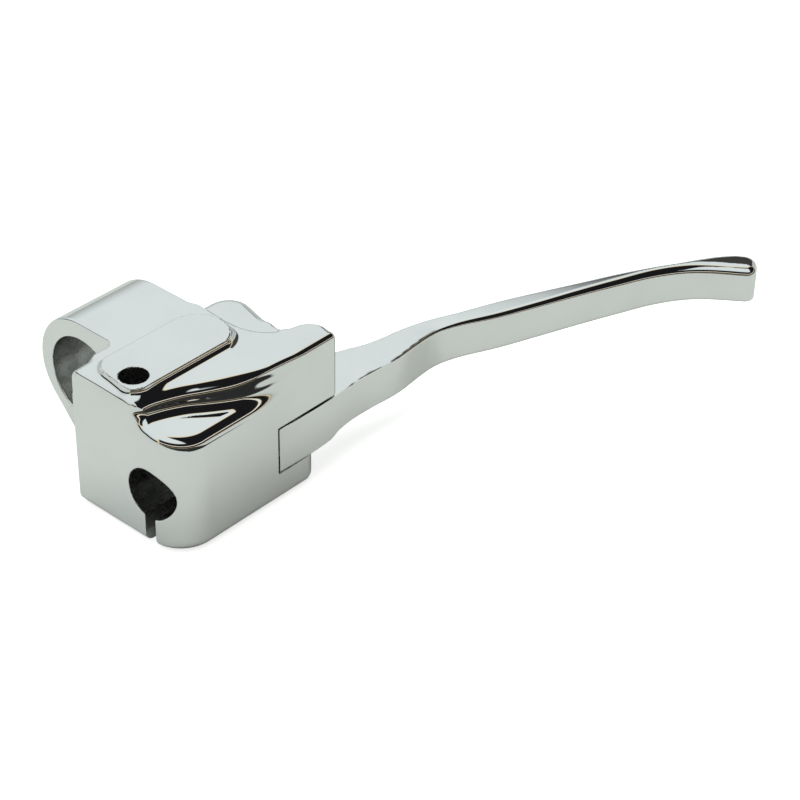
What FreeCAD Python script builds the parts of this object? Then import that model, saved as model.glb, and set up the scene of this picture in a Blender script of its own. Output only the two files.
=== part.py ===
import FreeCAD, Part
import math
import os

# Clutch lever assembly: a billet perch that clamps a one inch handlebar, and the lever that
# swings in a slot of it. Millimetres. The origin is the centre of the handlebar clamp bore.
# +X runs along the bar towards the lever's tip, +Y towards the rider, +Z up.

os.makedirs("parts", exist_ok=True)

# Handlebar clamp
BAR_DIA = 25.4
CLAMP_FIT = 0.05
BORE_R = BAR_DIA / 2 + CLAMP_FIT
CLAMP_WIDTH = 28.0
CLAMP_WALL = 4.55
CLAMP_OUTER_R = BORE_R + CLAMP_WALL
CLAMP_RISE = 1.1
LUG_SLOPE_DEG = 49.0
PINCH_GAP = 2.0
PINCH_Y = -3.6
BORE_CHAMFER = 0.6
NECK_OVERLAP = 6.0

# Clamp screws
CLAMP_SCREW_DIA = 5.0
CLAMP_SCREW_HEAD_DIA = 8.5
CLAMP_SCREW_HEAD_H = 5.0
CLAMP_SCREW_LENGTH = 16.0
CLAMP_SCREW_X = 8.0
CLAMP_SCREW_DROP = 6.15
CLAMP_SCREW_Z = -BORE_R - CLAMP_SCREW_DROP
CLAMP_SEAT_Y = 0.5
CLAMP_WASHER_THICK = 1.0
CLAMP_WASHER_DIA = 8.8
CLAMP_KEY = 4.0
CLAMP_KEY_DEPTH = 2.5
HEAD_EDGE_R = 0.5
CLEARANCE_FIT = 0.25

# Perch block
BLOCK_LEFT = -29.5
BACK_WALL = 0.85
BLOCK_BACK = -BORE_R - BACK_WALL
BLOCK_DEPTH = 40.1
BLOCK_FRONT = BLOCK_BACK - BLOCK_DEPTH
TOE_DROP = 7.3
BLOCK_BOTTOM = CLAMP_SCREW_Z - TOE_DROP
DECK_Z = CLAMP_RISE + CLAMP_OUTER_R
FRONT_CORNER_R = 11.0
BOTTOM_EDGE_R = 3.0
BACK_EDGE_R = 3.5
DECK_EDGE_R = 1.2

# Upper ear over the lever, and the shorter lower ear
EAR_RIGHT = 30.8
EAR_WIDTH = 10.1
EAR_BACK = BLOCK_FRONT + EAR_WIDTH
EAR_TIP_R = 1.5
EAR_CORNER_R = 5.0
NOTCH_X = 23.0
NOTCH_SET_BACK = 12.1
NOTCH_Y = BLOCK_FRONT + NOTCH_SET_BACK
NOTCH_R = 4.0
LOWER_EAR_RIGHT = 20.2
LOWER_CORNER_R = 3.4
LUG_STEP = 1.9
LUG_BACK = BLOCK_BACK - LUG_STEP
LUG_REACH = 10.7
LUG_CORNER_R = 9.5

# Raised boss on the deck, with the mirror hole at its inboard end
BOSS_RISE = 2.0
BOSS_EDGE_R = 0.4
BOSS_ROOT = 5.0
BOSS_LEFT = -28.2
BOSS_RIGHT = 11.8
BOSS_SET_BACK = 5.2
BOSS_BACK = BLOCK_BACK - BOSS_SET_BACK
BOSS_DEPTH = 18.5
BOSS_FRONT = BOSS_BACK - BOSS_DEPTH
BOSS_LEFT_CORNER_R = 6.4
BOSS_RIGHT_CORNER_R = 8.7
MIRROR_STEM_DIA = 7.94
MIRROR_FIT = 0.08
MIRROR_HOLE_DEPTH = 18.0
MIRROR_X = -22.7
MIRROR_SET_BACK = 12.4
MIRROR_Y = BOSS_BACK - MIRROR_SET_BACK

# Scooped pocket in the front of the deck
SCOOP_FLOOR_Z = 11.6
SCOOP_DEPTH = 13.5
SCOOP_WALL_Y = BLOCK_FRONT + SCOOP_DEPTH
SCOOP_TURN_X = -19.0
SCOOP_TURN_R = 12.0
SCOOP_END_X = 4.5
SCOOP_END_STEP = 0.45
SCOOP_END_R = 14.0
SCOOP_RUNOUT = 3.0
SCOOP_FOOT_R = 2.5
SCOOP_LIP_R = 2.4

# Lever slot
SLOT_MID_Z = -9.3
SLOT_HEIGHT = 15.0
SLOT_LEFT = 7.6
ROOT_GAP = 0.25

# Pivot
PIVOT_X = 17.5
PIVOT_SET_BACK = 8.0
PIVOT_Y = LUG_BACK - PIVOT_SET_BACK
PIVOT_DIA = 8.0
PIVOT_FIT = 0.03
THREAD_DIA = 6.0
THREAD_LENGTH = 9.0
THREAD_FIT = 0.05
THREAD_CHAMFER = 0.6
THREAD_RUNOUT = 1.0
SHOULDER_SHORT = 0.2
SCREW_HEAD_DIA = 13.0
SCREW_HEAD_HEIGHT = 3.6
LOCK_WASHER_THICK = 0.8
HEAD_RECESS_FIT = 0.4
HEX_KEY = 5.0
HEX_DEPTH = 2.5
WASHER_SPLIT = 0.8
WASHER_SHORT = 0.3
BUSH_WALL = 1.5
BUSH_FLANGE_DIA = 15.0
BUSH_FLANGE_THICK = 0.8
BUSH_GREASE_GAP = 0.35
THRUST_THICK = 0.8
THRUST_GAP = 0.05
PRESS_FIT = 0.005
ROOT_BOSS_R = 8.6
ROOT_BOSS_GAP = 0.8

# Cable entry and cable anchor
FERRULE_DIA = 15.24
FERRULE_FIT = 0.15
FERRULE_DEPTH = 20.0
CABLE_SET_BACK = 11.6
CABLE_Y = BLOCK_FRONT + CABLE_SET_BACK
WIRE_SLIT = 3.8
WIRE_HOLE_DIA = 4.0
ANCHOR_X = 16.0
ANCHOR_DIA = 8.0
ANCHOR_FIT = 0.05
ANCHOR_BUSH_WALL = 1.0
ANCHOR_KERF = 4.0
ANCHOR_SWING = 1.5
ANCHOR_CHAMFER = 0.4
ANCHOR_BUSH_GAP = 0.1
WIRE_BORE_DIA = 2.2
WIRE_BEAD_DIA = 5.0
WIRE_BEAD_DEPTH = 3.0

# Lever blade
LEVER_REACH = 171.2
BLADE_HEIGHT = 12.0
BLADE_TOP_Z = -3.6
BLADE_START_X = 31.0
BLADE_EDGE_R = 1.6
DRAWN_REACH = 171.2
DRAWN_FRONT = -53.7
SHOULDER_X = 37.0
SHOULDER_BACK_X = 40.0
SHOULDER_DEPTH = 14.1
SHOULDER_BACK_R = 4.0
WAIST_X = 27.0
WAIST_DEPTH = 16.7
WAIST_R = 5.0
ROOT_LEFT_DEPTH = 19.7
ROOT_LEFT_R = 6.0

SLOT_TOP = SLOT_MID_Z + SLOT_HEIGHT / 2
SLOT_BOTTOM = SLOT_MID_Z - SLOT_HEIGHT / 2
ROOT_TOP = SLOT_TOP - ROOT_GAP
ROOT_BOTTOM = SLOT_BOTTOM + ROOT_GAP
FAR = 80.0
X_AXIS = FreeCAD.Vector(1, 0, 0)
Y_AXIS = FreeCAD.Vector(0, 1, 0)
Z_AXIS = FreeCAD.Vector(0, 0, 1)


def point(x, y, z=0.0):
    return FreeCAD.Vector(x, y, z)


def outline(corners, z):
    """A closed face at height z through (x, y, radius) corners, each rounded by its radius."""
    count = len(corners)
    joints = []
    for i in range(count):
        x, y, radius = corners[i]
        here = point(x, y, z)
        before = point(*corners[i - 1][:2], z) - here
        after = point(*corners[(i + 1) % count][:2], z) - here
        if radius == 0:
            joints.append((here, None, here))
            continue
        half = before.getAngle(after) / 2
        before.normalize()
        after.normalize()
        run = radius / math.tan(half)
        middle = before + after
        middle.normalize()
        crown = here + middle * (radius / math.sin(half) - radius)
        joints.append((here + before * run, crown, here + after * run))
    edges = []
    for i in range(count):
        start, crown, end = joints[i]
        if crown is not None:
            edges.append(Part.Arc(start, crown, end).toShape())
        following = joints[(i + 1) % count][0]
        if end.distanceToPoint(following) > 1e-6:
            edges.append(Part.makeLine(end, following))
    return Part.Face(Part.Wire(edges))


def prism(corners, low, high):
    """The outline carried up from one height to another."""
    return outline(corners, low).extrude(Z_AXIS * (high - low))


def rod(centre, axis, radius, length):
    return Part.makeCylinder(radius, length, centre, axis)


def box(low, high):
    size = high - low
    return Part.makeBox(size.x, size.y, size.z, low)


def hex_socket(centre, axis, flats, depth):
    """A hexagonal bar for the key of a socket screw."""
    corner_r = flats / math.sqrt(3)
    hexagon = [point(corner_r * math.cos(k * math.pi / 3), corner_r * math.sin(k * math.pi / 3))
               for k in range(7)]
    bar = Part.Face(Part.makePolygon(hexagon)).extrude(Z_AXIS * depth)
    bar.Placement = FreeCAD.Placement(centre, FreeCAD.Rotation(Z_AXIS, axis))
    return bar


def save(name, shape):
    solid = shape.removeSplitter()
    if len(solid.Solids) == 1:
        solid = solid.Solids[0]
    if not solid.isValid():
        raise ValueError(name + " is not a valid solid")
    solid.exportStep("parts/" + name + ".step")
    print(name, len(shape.Solids), round(solid.Volume, 1))


def clamp_section():
    """Side view of the clamp: flat top, round back and a straight slope down to the lug."""
    slope = math.radians(LUG_SLOPE_DEG)
    leave = math.pi / 2 - slope
    centre = point(0, 0, CLAMP_RISE)
    top = centre + Z_AXIS * CLAMP_OUTER_R
    back = centre + Y_AXIS * CLAMP_OUTER_R
    low = centre + point(0, math.cos(leave), -math.sin(leave)) * CLAMP_OUTER_R
    drop = low.z - BLOCK_BOTTOM
    foot = point(0, low.y - drop / math.tan(slope), BLOCK_BOTTOM)
    neck_y = BLOCK_BACK - NECK_OVERLAP
    edges = [Part.makeLine(point(0, neck_y, DECK_Z), top),
             Part.Arc(top, back, low).toShape(),
             Part.makeLine(low, foot),
             Part.makeLine(foot, point(0, neck_y, BLOCK_BOTTOM)),
             Part.makeLine(point(0, neck_y, BLOCK_BOTTOM), point(0, neck_y, DECK_Z))]
    face = Part.Face(Part.Wire(edges))
    face.translate(X_AXIS * (-CLAMP_WIDTH / 2))
    return face.extrude(X_AXIS * CLAMP_WIDTH)


def block_corners(right_corners):
    """Plan of the block from its back left corner, round the front, to the pivot lug."""
    return [(BLOCK_LEFT, BLOCK_BACK, 0),
            (BLOCK_LEFT, BLOCK_FRONT, FRONT_CORNER_R)] + right_corners + [
            (PIVOT_X + LUG_REACH, LUG_BACK, LUG_CORNER_R),
            (0.0, LUG_BACK, 0),
            (0.0, BLOCK_BACK, 0)]


def edges_where(shape, test):
    return [edge for edge in shape.Edges if test(edge)]


def at_height(z):
    def test(edge):
        return all(abs(v.Z - z) < 1e-4 for v in edge.Vertexes) and abs(edge.CenterOfMass.z - z) < 1e-4
    return test


def scoop():
    """The pocket's cutter: an S-shaped wall with a rounded foot, open to the front and left."""
    corners = [(-FAR, SCOOP_WALL_Y, 0),
               (SCOOP_TURN_X, SCOOP_WALL_Y, SCOOP_TURN_R),
               (SCOOP_END_X, BLOCK_FRONT - SCOOP_END_STEP, SCOOP_END_R),
               (EAR_RIGHT, BLOCK_FRONT - SCOOP_RUNOUT, 0),
               (EAR_RIGHT, -FAR, 0),
               (-FAR, -FAR, 0)]
    cutter = prism(corners, SCOOP_FLOOR_Z, DECK_Z + FAR)
    foot = edges_where(cutter, lambda e: at_height(SCOOP_FLOOR_Z)(e)
                       and e.BoundBox.YMin > BLOCK_FRONT - 2 * SCOOP_RUNOUT)
    return cutter.makeFillet(SCOOP_FOOT_R, foot)


def rounded_block():
    """The block's upper and lower halves with their rounded edges, before anything is cut."""
    upper = prism(block_corners([(EAR_RIGHT, BLOCK_FRONT, EAR_TIP_R),
                                 (EAR_RIGHT, EAR_BACK, EAR_CORNER_R),
                                 (NOTCH_X, NOTCH_Y, NOTCH_R)]), SLOT_MID_Z, DECK_Z)
    back_edge = edges_where(upper, lambda e: at_height(DECK_Z)(e)
                            and abs(e.CenterOfMass.y - BLOCK_BACK) < 1e-3)
    upper = upper.makeFillet(BACK_EDGE_R, back_edge)
    lower = prism(block_corners([(LOWER_EAR_RIGHT, BLOCK_FRONT, LOWER_CORNER_R)]),
                  BLOCK_BOTTOM, SLOT_MID_Z)
    bottom_edges = edges_where(lower, lambda e: at_height(BLOCK_BOTTOM)(e)
                               and e.CenterOfMass.y < BLOCK_BACK - 2.5)
    return upper.fuse(lower.makeFillet(BOTTOM_EDGE_R, bottom_edges))


def boss():
    """The raised island on the deck that carries the mirror hole."""
    island = prism([(BOSS_LEFT, BOSS_BACK, BOSS_LEFT_CORNER_R),
                    (BOSS_LEFT, BOSS_FRONT, BOSS_LEFT_CORNER_R),
                    (BOSS_RIGHT, BOSS_FRONT, BOSS_RIGHT_CORNER_R),
                    (BOSS_RIGHT, BOSS_BACK, BOSS_RIGHT_CORNER_R)],
                   DECK_Z - BOSS_ROOT, DECK_Z + BOSS_RISE)
    return island.makeFillet(BOSS_EDGE_R, edges_where(island, at_height(DECK_Z + BOSS_RISE)))


def clamp_cuts():
    """Handlebar bore with chamfered mouths, the pinch gap and the screw holes with their seats."""
    cone_r = BORE_R + BORE_CHAMFER
    half = CLAMP_WIDTH / 2
    cuts = [rod(point(-half - 1, 0), X_AXIS, BORE_R, CLAMP_WIDTH + 2),
            Part.makeCone(cone_r, BORE_R, BORE_CHAMFER, point(-half, 0), X_AXIS),
            Part.makeCone(BORE_R, cone_r, BORE_CHAMFER, point(half - BORE_CHAMFER, 0), X_AXIS),
            box(point(-half - 1, PINCH_Y - PINCH_GAP / 2, BLOCK_BOTTOM - 1),
                point(half + 1, PINCH_Y + PINCH_GAP / 2, -BORE_R / 2))]
    for x in (-CLAMP_SCREW_X, CLAMP_SCREW_X):
        seat = point(x, CLAMP_SEAT_Y, CLAMP_SCREW_Z)
        reach = CLAMP_SCREW_LENGTH + 2
        tip = point(x, CLAMP_SEAT_Y - reach, CLAMP_SCREW_Z)
        cuts.append(rod(tip, Y_AXIS, CLAMP_SCREW_DIA / 2 + THREAD_FIT, reach))
        gap_face = point(x, PINCH_Y, CLAMP_SCREW_Z)
        cuts.append(rod(gap_face, Y_AXIS, CLAMP_SCREW_DIA / 2 + CLEARANCE_FIT, 10))
        cuts.append(rod(seat, Y_AXIS, CLAMP_WASHER_DIA / 2 + CLEARANCE_FIT, 20))
    return cuts


def cable_cuts():
    """Ferrule bore in the inboard face, the wire's hole beyond it and the slit below both."""
    start = point(BLOCK_LEFT - 1, CABLE_Y, SLOT_MID_Z)
    return [rod(start, X_AXIS, FERRULE_DIA / 2 + FERRULE_FIT, FERRULE_DEPTH + 1),
            rod(start, X_AXIS, WIRE_HOLE_DIA / 2, SLOT_LEFT - BLOCK_LEFT + 2),
            box(point(BLOCK_LEFT - 1, CABLE_Y - WIRE_SLIT / 2, BLOCK_BOTTOM - 1),
                point(SLOT_LEFT + 1, CABLE_Y + WIRE_SLIT / 2, SLOT_MID_Z))]


def lever_slot():
    """The slot between the ears: open to the front, the right and the back, round at the pivot."""
    clear_r = ROOT_BOSS_R + ROOT_BOSS_GAP
    pivot = point(PIVOT_X, PIVOT_Y, SLOT_BOTTOM)
    front = box(point(SLOT_LEFT, BLOCK_FRONT - 1, SLOT_BOTTOM), point(FAR, PIVOT_Y, SLOT_TOP))
    back = box(point(PIVOT_X, PIVOT_Y - 1, SLOT_BOTTOM), point(FAR, BLOCK_BACK + 5, SLOT_TOP))
    return [front, back, rod(pivot, Z_AXIS, clear_r, SLOT_HEIGHT)]


def pivot_cuts():
    """Shoulder hole and head recess from below, tapped hole above, closed at the top."""
    low = point(PIVOT_X, PIVOT_Y, BLOCK_BOTTOM - 1)
    recess = SCREW_HEAD_HEIGHT + LOCK_WASHER_THICK
    shoulder_r = PIVOT_DIA / 2 + PIVOT_FIT
    tapped = THREAD_LENGTH + THREAD_RUNOUT
    return [rod(low, Z_AXIS, SCREW_HEAD_DIA / 2 + HEAD_RECESS_FIT, recess + 1),
            rod(low, Z_AXIS, shoulder_r, SLOT_TOP - BLOCK_BOTTOM + 1),
            rod(point(PIVOT_X, PIVOT_Y, SLOT_TOP - 1), Z_AXIS, THREAD_DIA / 2 + THREAD_FIT, tapped + 1)]


def perch_body():
    body = rounded_block().fuse(clamp_section()).cut(scoop()).fuse(boss()).removeSplitter()
    corner_x = BLOCK_LEFT + FRONT_CORNER_R
    corner_y = BLOCK_FRONT + FRONT_CORNER_R
    lip = edges_where(body, lambda e: at_height(SCOOP_FLOOR_Z)(e)
                      and (abs(e.CenterOfMass.y - BLOCK_FRONT) < 1e-3
                           or (e.CenterOfMass.x < corner_x and e.CenterOfMass.y < corner_y)))
    body = body.makeFillet(SCOOP_LIP_R, lip)
    deck = edges_where(body, lambda e: at_height(DECK_Z)(e)
                       and abs(e.CenterOfMass.x - BLOCK_LEFT) < 1e-3)
    body = body.makeFillet(DECK_EDGE_R, deck)
    mirror = rod(point(MIRROR_X, MIRROR_Y, DECK_Z + BOSS_RISE - MIRROR_HOLE_DEPTH), Z_AXIS,
                 MIRROR_STEM_DIA / 2 + MIRROR_FIT, MIRROR_HOLE_DEPTH + 1)
    cuts = clamp_cuts() + cable_cuts() + lever_slot() + pivot_cuts() + [mirror]
    return body.cut(cuts)


def spline(points, z):
    curve = Part.BSplineCurve()
    curve.interpolate([point(x, y, z) for x, y in points])
    return curve.toShape()


def blade():
    """The finger blade: straight out of the perch, a bend forward, then a curl at the tip.

    The edge's points are the drawn lever's: x is stretched from the blade's start to its reach,
    and y is measured from the block's front.
    """
    low = BLADE_TOP_Z - BLADE_HEIGHT
    stretch = (LEVER_REACH - BLADE_START_X) / (DRAWN_REACH - BLADE_START_X)
    drawn = [(31.0, -53.5), (45.0, -53.4), (58.0, -53.4), (70.0, -52.6), (80.0, -53.8),
             (94.0, -59.2), (120.0, -68.7), (145.5, -79.1), (155.5, -86.2), (162.6, -95.8),
             (167.2, -98.0), (171.2, -93.6), (166.4, -85.6), (149.0, -75.8),
             (113.0, -58.8), (84.5, -48.1), (68.0, -43.4), (54.0, -41.2), (45.0, -38.8),
             (31.0, -38.2)]
    forward = BLOCK_FRONT - DRAWN_FRONT
    points = [(BLADE_START_X + (x - BLADE_START_X) * stretch, y + forward) for x, y in drawn]
    edge = spline(points, low)
    root = Part.makeLine(point(*points[-1], low), point(*points[0], low))
    bar = Part.Face(Part.Wire([edge, root])).extrude(Z_AXIS * BLADE_HEIGHT)
    long_edges = edges_where(bar, lambda e: e.BoundBox.ZLength < 0.1
                             and e.CenterOfMass.x > BLADE_START_X + 1)
    return bar.makeFillet(BLADE_EDGE_R, long_edges)


def lever_root():
    """The plate in the slot: flush front panel, round pivot boss and the blade's wide shoulder."""
    left = SLOT_LEFT + ROOT_GAP
    corners = [(left, BLOCK_FRONT, 0),
               (BLADE_START_X + 1, BLOCK_FRONT, 0),
               (SHOULDER_X, BLOCK_FRONT + 1, 0),
               (SHOULDER_BACK_X, BLOCK_FRONT + SHOULDER_DEPTH, SHOULDER_BACK_R),
               (WAIST_X, BLOCK_FRONT + WAIST_DEPTH, WAIST_R),
               (PIVOT_X + ROOT_BOSS_R, PIVOT_Y, 0),
               (PIVOT_X, PIVOT_Y, 0),
               (PIVOT_X - ROOT_BOSS_R, PIVOT_Y, 0),
               (left, BLOCK_FRONT + ROOT_LEFT_DEPTH, ROOT_LEFT_R)]
    plate = prism(corners, ROOT_BOTTOM, ROOT_TOP)
    hub = rod(point(PIVOT_X, PIVOT_Y, ROOT_BOTTOM), Z_AXIS, ROOT_BOSS_R, ROOT_TOP - ROOT_BOTTOM)
    return plate.fuse(hub)


def bush_recess_depth():
    return BUSH_FLANGE_THICK + THRUST_THICK + THRUST_GAP - ROOT_GAP


def lever_cuts():
    """Bush bore with flange recesses, anchor bore, and the kerf that lets the wire reach it."""
    bush_r = PIVOT_DIA / 2 + PIVOT_FIT + BUSH_WALL
    recess = bush_recess_depth()
    recess_r = BUSH_FLANGE_DIA / 2 + CLEARANCE_FIT
    anchor_r = ANCHOR_DIA / 2 + ANCHOR_FIT + ANCHOR_BUSH_WALL
    root_height = ROOT_TOP - ROOT_BOTTOM
    pivot = point(PIVOT_X, PIVOT_Y, ROOT_BOTTOM)
    anchor = point(ANCHOR_X, CABLE_Y, ROOT_BOTTOM)
    swing = ANCHOR_DIA / 2 + ANCHOR_SWING
    return [rod(pivot - Z_AXIS, Z_AXIS, bush_r, root_height + 2),
            rod(pivot - Z_AXIS, Z_AXIS, recess_r, recess + 1),
            rod(pivot + Z_AXIS * (root_height - recess), Z_AXIS, recess_r, recess + 1),
            rod(anchor - Z_AXIS, Z_AXIS, anchor_r, root_height + 2),
            box(point(SLOT_LEFT - 1, CABLE_Y - swing, SLOT_MID_Z - ANCHOR_KERF / 2),
                point(ANCHOR_X, CABLE_Y + swing, SLOT_MID_Z + ANCHOR_KERF / 2)),
            box(point(SLOT_LEFT - 1, CABLE_Y - WIRE_SLIT / 2, ROOT_BOTTOM - 1),
                point(ANCHOR_X, CABLE_Y + WIRE_SLIT / 2, SLOT_MID_Z))]


def clutch_lever():
    return lever_root().fuse(blade()).cut(lever_cuts()).removeSplitter()


def pivot_bush(facing):
    """A flanged sleeve pressed into the root; facing is +1 for the upper one, -1 for the lower."""
    length = (ROOT_TOP - ROOT_BOTTOM) / 2 - bush_recess_depth() - BUSH_GREASE_GAP
    axis = Z_AXIS * facing
    face = ROOT_TOP if facing > 0 else ROOT_BOTTOM
    seat = point(PIVOT_X, PIVOT_Y, face - facing * bush_recess_depth())
    inner = PIVOT_DIA / 2 + PIVOT_FIT
    sleeve = rod(seat - axis * length, axis, inner + BUSH_WALL - PRESS_FIT, length)
    flange = rod(seat, axis, BUSH_FLANGE_DIA / 2, BUSH_FLANGE_THICK)
    bore = rod(seat - axis * (length + 1), axis, inner, length + BUSH_FLANGE_THICK + 2)
    return sleeve.fuse(flange).cut(bore).removeSplitter()


def ring(centre, axis, inner, outer, thickness):
    return rod(centre, axis, outer, thickness).cut(rod(centre - axis, axis, inner, thickness + 2))


def thrust_washer(facing):
    """A steel washer between a bush flange and its ear."""
    face = SLOT_TOP - THRUST_THICK if facing > 0 else SLOT_BOTTOM
    return ring(point(PIVOT_X, PIVOT_Y, face), Z_AXIS, PIVOT_DIA / 2 + PIVOT_FIT,
                BUSH_FLANGE_DIA / 2, THRUST_THICK)


def head_seat_z():
    return BLOCK_BOTTOM + SCREW_HEAD_HEIGHT + LOCK_WASHER_THICK


def pivot_screw():
    """Shoulder screw from below: hexagon socket head, ground shoulder and threaded end."""
    under_head = head_seat_z() - LOCK_WASHER_THICK
    head = rod(point(PIVOT_X, PIVOT_Y, under_head - SCREW_HEAD_HEIGHT), Z_AXIS,
               SCREW_HEAD_DIA / 2, SCREW_HEAD_HEIGHT)
    outer_face = under_head - SCREW_HEAD_HEIGHT
    head = head.makeFillet(HEAD_EDGE_R, edges_where(head, at_height(outer_face)))
    shoulder_end = SLOT_TOP - SHOULDER_SHORT
    shoulder = rod(point(PIVOT_X, PIVOT_Y, under_head), Z_AXIS, PIVOT_DIA / 2,
                   shoulder_end - under_head)
    thread = rod(point(PIVOT_X, PIVOT_Y, shoulder_end), Z_AXIS, THREAD_DIA / 2, THREAD_LENGTH)
    tip = edges_where(thread, at_height(shoulder_end + THREAD_LENGTH))
    thread = thread.makeChamfer(THREAD_CHAMFER, tip)
    key = hex_socket(point(PIVOT_X, PIVOT_Y, outer_face - 1), Z_AXIS, HEX_KEY, HEX_DEPTH + 1)
    return head.fuse([shoulder, thread]).cut(key).removeSplitter()


def pivot_lock_washer():
    """Split spring washer under the screw's head."""
    low = head_seat_z() - LOCK_WASHER_THICK
    washer = ring(point(PIVOT_X, PIVOT_Y, low), Z_AXIS, PIVOT_DIA / 2 + CLEARANCE_FIT,
                  SCREW_HEAD_DIA / 2 - WASHER_SHORT, LOCK_WASHER_THICK)
    split = box(point(PIVOT_X, PIVOT_Y - WASHER_SPLIT / 2, low - 1),
                point(PIVOT_X + SCREW_HEAD_DIA, PIVOT_Y + WASHER_SPLIT / 2, low + 2))
    return washer.cut(split)


def cable_anchor_barrel():
    """The barrel that takes the wire: cross hole, bead pocket outboard, drop-in slit below."""
    height = ROOT_TOP - ROOT_BOTTOM
    centre = point(ANCHOR_X, CABLE_Y, ROOT_BOTTOM)
    barrel = rod(centre, Z_AXIS, ANCHOR_DIA / 2, height)
    rims = edges_where(barrel, lambda e: at_height(ROOT_TOP)(e) or at_height(ROOT_BOTTOM)(e))
    barrel = barrel.makeChamfer(ANCHOR_CHAMFER, rims)
    wire = point(ANCHOR_X - ANCHOR_DIA, CABLE_Y, SLOT_MID_Z)
    pocket_x = ANCHOR_X + ANCHOR_DIA / 2 - WIRE_BEAD_DEPTH
    return barrel.cut([rod(wire, X_AXIS, WIRE_BORE_DIA / 2, 2 * ANCHOR_DIA),
                       rod(point(pocket_x, CABLE_Y, SLOT_MID_Z), X_AXIS, WIRE_BEAD_DIA / 2,
                           ANCHOR_DIA),
                       box(point(wire.x, CABLE_Y - WIRE_BORE_DIA / 2, ROOT_BOTTOM - 1),
                           point(ANCHOR_X + ANCHOR_DIA, CABLE_Y + WIRE_BORE_DIA / 2, SLOT_MID_Z))])


def anchor_bush(facing):
    """Thin sleeve pressed into the root above or below the kerf."""
    length = (ROOT_TOP - ROOT_BOTTOM - ANCHOR_KERF) / 2 - ANCHOR_BUSH_GAP
    start = ROOT_TOP - length if facing > 0 else ROOT_BOTTOM
    inner = ANCHOR_DIA / 2 + ANCHOR_FIT
    sleeve = ring(point(ANCHOR_X, CABLE_Y, start), Z_AXIS, inner,
                  inner + ANCHOR_BUSH_WALL - PRESS_FIT, length)
    if facing > 0:
        return sleeve
    slit = box(point(ANCHOR_X - 2 * ANCHOR_DIA, CABLE_Y - WIRE_SLIT / 2, start - 1),
               point(ANCHOR_X, CABLE_Y + WIRE_SLIT / 2, start + length + 1))
    return sleeve.cut(slit)


def clamp_screw(x):
    """Socket cap screw across the pinch gap."""
    head_y = CLAMP_SEAT_Y + CLAMP_WASHER_THICK
    shank = rod(point(x, head_y - CLAMP_SCREW_LENGTH, CLAMP_SCREW_Z), Y_AXIS,
                CLAMP_SCREW_DIA / 2, CLAMP_SCREW_LENGTH)
    head = rod(point(x, head_y, CLAMP_SCREW_Z), Y_AXIS, CLAMP_SCREW_HEAD_DIA / 2,
               CLAMP_SCREW_HEAD_H)
    rim = edges_where(head, lambda e: abs(e.CenterOfMass.y - head_y - CLAMP_SCREW_HEAD_H) < 1e-4)
    head = head.makeFillet(HEAD_EDGE_R, rim)
    socket_y = head_y + CLAMP_SCREW_HEAD_H - CLAMP_KEY_DEPTH
    key = hex_socket(point(x, socket_y, CLAMP_SCREW_Z), Y_AXIS, CLAMP_KEY, CLAMP_KEY_DEPTH + 1)
    return shank.fuse(head).cut(key).removeSplitter()


def clamp_washer(x):
    return ring(point(x, CLAMP_SEAT_Y, CLAMP_SCREW_Z), Y_AXIS,
                CLAMP_SCREW_DIA / 2 + CLEARANCE_FIT / 2, CLAMP_WASHER_DIA / 2, CLAMP_WASHER_THICK)


def pair(maker):
    """Two alike pieces, one each side of the clamp's middle, as one group of separate solids."""
    return Part.makeCompound([maker(-CLAMP_SCREW_X), maker(CLAMP_SCREW_X)])


save("perch_body", perch_body())
save("clutch_lever", clutch_lever())
save("pivot_screw", pivot_screw())
save("pivot_lock_washer", pivot_lock_washer())
save("cable_anchor_barrel", cable_anchor_barrel())
for side, facing in (("upper", 1), ("lower", -1)):
    save(side + "_pivot_bush", pivot_bush(facing))
    save(side + "_thrust_washer", thrust_washer(facing))
    save(side + "_anchor_bush", anchor_bush(facing))
save("clamp_screws", pair(clamp_screw))
save("clamp_washers", pair(clamp_washer))
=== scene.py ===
"""Studio scene of a polished billet clutch lever in its handlebar perch.

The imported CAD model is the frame. The two billet pieces are rebuilt here as smooth level sets:
each is a signed distance blended from planes, cylinders and curves, and its surface is found on a
grid with numpy. The small hardware keeps its CAD meshes and is given finishes. Lengths inside the
classes are in millimetres in the frame's own axes, and meshes are written in metres.
"""

import logging
import math
from collections.abc import Callable
from dataclasses import dataclass
from enum import Enum

import bmesh
import bpy
import numpy as np
from bpy.types import Material, Node, NodeTree, Object, ShaderNodeTree
from mathutils import Matrix, Vector


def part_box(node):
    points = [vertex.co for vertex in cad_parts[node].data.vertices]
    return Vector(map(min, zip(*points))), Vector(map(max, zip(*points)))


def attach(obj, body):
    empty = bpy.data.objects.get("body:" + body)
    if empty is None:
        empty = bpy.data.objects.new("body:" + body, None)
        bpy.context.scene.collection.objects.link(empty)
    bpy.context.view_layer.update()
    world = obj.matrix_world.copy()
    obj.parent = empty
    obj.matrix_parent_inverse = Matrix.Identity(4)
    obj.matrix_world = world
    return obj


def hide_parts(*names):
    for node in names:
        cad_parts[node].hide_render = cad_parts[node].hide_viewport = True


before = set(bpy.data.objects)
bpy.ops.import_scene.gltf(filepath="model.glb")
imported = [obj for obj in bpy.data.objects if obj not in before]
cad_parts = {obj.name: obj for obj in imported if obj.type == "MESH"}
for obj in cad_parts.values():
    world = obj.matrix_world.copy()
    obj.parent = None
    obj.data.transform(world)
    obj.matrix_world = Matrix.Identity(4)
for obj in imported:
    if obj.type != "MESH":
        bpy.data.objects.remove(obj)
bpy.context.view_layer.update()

LOG = logging.getLogger("clutch_lever")
MM = 0.001
MOST_ACUTE_MM = 1e-6
Array = np.ndarray
Field = Callable[[Array, Array, Array], Array]
Pair = tuple[float, float]
Triple = tuple[float, float, float]
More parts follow.
